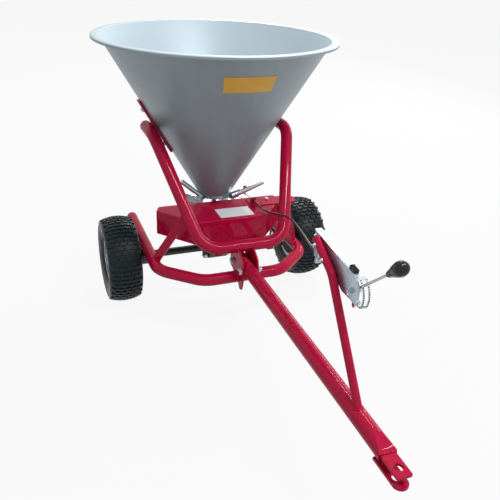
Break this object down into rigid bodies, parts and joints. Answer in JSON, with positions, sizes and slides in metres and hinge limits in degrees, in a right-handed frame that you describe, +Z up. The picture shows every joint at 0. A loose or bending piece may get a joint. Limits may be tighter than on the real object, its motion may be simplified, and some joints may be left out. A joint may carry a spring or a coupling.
{
  "type": "garden spreader",
  "caption": "Tow-behind garden spreader: cone hopper on a bent-tube frame with turf wheels, an axle-driven spinner disc, and a lever on the drawbar that works the feed shutter by cable.",
  "frame": {"origin": "on the ground, in the middle of the machine's length and width", "axes": "+Z up, -Y towards the hitch, +X to the right of someone who walks behind the machine towards the hitch"},
  "size_m": [0.8824, 1.8069, 0.9885],
  "materials": {
    "frame_red": "gloss powder coat",
    "hopper_silver": "satin",
    "rim_silver": "satin",
    "tyre_rubber": "moulded",
    "zinc_steel": "zinc plated",
    "black_steel": "blackened",
    "black_iron": "painted",
    "bush_bronze": "plain bearing bronze",
    "black_plastic": "gloss",
    "scale_white": "satin"
  },
  "bodies": {
    "frame": {"bearing_bolts": "zinc_steel", "bearing_housing_left": "black_iron", "bearing_housing_right": "black_iron", "bearings": "zinc_steel", "brace_left": "frame_red", "brace_right": "frame_red", "bracket_bolts": "zinc_steel", "cable_adjuster": "zinc_steel", "cable_clamp": "zinc_steel", "cable_sheath": "black_plastic", "cable_stop": "frame_red", "cable_stop_bolt": "zinc_steel", "control_bracket": "zinc_steel", "control_mast": "frame_red", "drawbar_bolts": "zinc_steel", "drawbar_tube": "frame_red", "ear_plate_left": "frame_red", "ear_plate_right": "frame_red", "feed_bush": "bush_bronze", "frame_hoop": "frame_red", "gearbox_bolts": "zinc_steel", "gearbox_front": "black_iron", "gearbox_rear": "black_iron", "guard": "frame_red", "guard_stays": "frame_red", "hitch_lower": "frame_red", "hitch_upper": "frame_red", "hopper": "hopper_silver", "hopper_base": "hopper_silver", "hopper_bolts": "zinc_steel", "hopper_side_plate_left": "frame_red", "hopper_side_plate_right": "frame_red", "limit_stop": "black_plastic", "lower_frame": "frame_red", "pivot_bolt": "zinc_steel", "scale_band": "scale_white", "tube_plugs": "black_plastic", "wire_lower": "zinc_steel", "wire_upper": "zinc_steel"},
    "axle": {"axle_shaft": "black_steel", "drive_pin": "zinc_steel", "axle_spacers": "black_steel", "axle_end_bolts": "zinc_steel", "crown_gear": "black_steel", "tyre_right": "tyre_rubber", "rim_right": "rim_silver"},
    "left_wheel": {"tyre_left": "tyre_rubber", "rim_left": "rim_silver", "hub_bush": "bush_bronze"},
    "spinner": {"pinion": "black_steel", "spinner_shaft": "zinc_steel", "agitator": "zinc_steel", "spinner_disc": "zinc_steel", "spinner_vanes": "zinc_steel"},
    "lever": {"control_lever": "zinc_steel", "lever_knob": "black_plastic"},
    "shutter": {"shutter_plate": "zinc_steel", "shutter_lever": "zinc_steel"},
    "direction": {"direction_plate": "zinc_steel", "direction_lever": "zinc_steel"}
  },
  "joints": [
    {"name": "axle_turn", "type": "hinge", "parent": "frame", "child": "axle", "pos_m": [0, 0.4745, 0.165], "axis": [1, 0, 0], "continuous": true},
    {"name": "left_wheel_turn", "type": "hinge", "parent": "axle", "child": "left_wheel", "pos_m": [-0.37875, 0.4745, 0.165], "axis": [1, 0, 0], "continuous": true},
    {"name": "spinner_turn", "type": "hinge", "parent": "frame", "child": "spinner", "pos_m": [0, 0.4745, 0.3], "axis": [0, 0, 1], "continuous": true},
    {"name": "lever_turn", "type": "hinge", "parent": "frame", "child": "lever", "pos_m": [0.0246, -0.5675, 0.552], "axis": [1, 0, 0], "range_deg": [0, 62], "deforming": ["wire_upper"]},
    {"name": "shutter_turn", "type": "hinge", "parent": "frame", "child": "shutter", "pos_m": [0, 0.4745, 0.402], "axis": [0, 0, 1], "range_deg": [0, 20], "deforming": ["wire_lower"]},
    {"name": "direction_turn", "type": "hinge", "parent": "frame", "child": "direction", "pos_m": [0, 0.4745, 0.398], "axis": [0, 0, 1], "range_deg": [-20, 20]}
  ],
  "couplings": [
    {"joint": "spinner_turn", "follows": "axle_turn", "ratio": -3},
    {"joint": "shutter_turn", "follows": "lever_turn", "ratio": 0.32258}
  ]
}
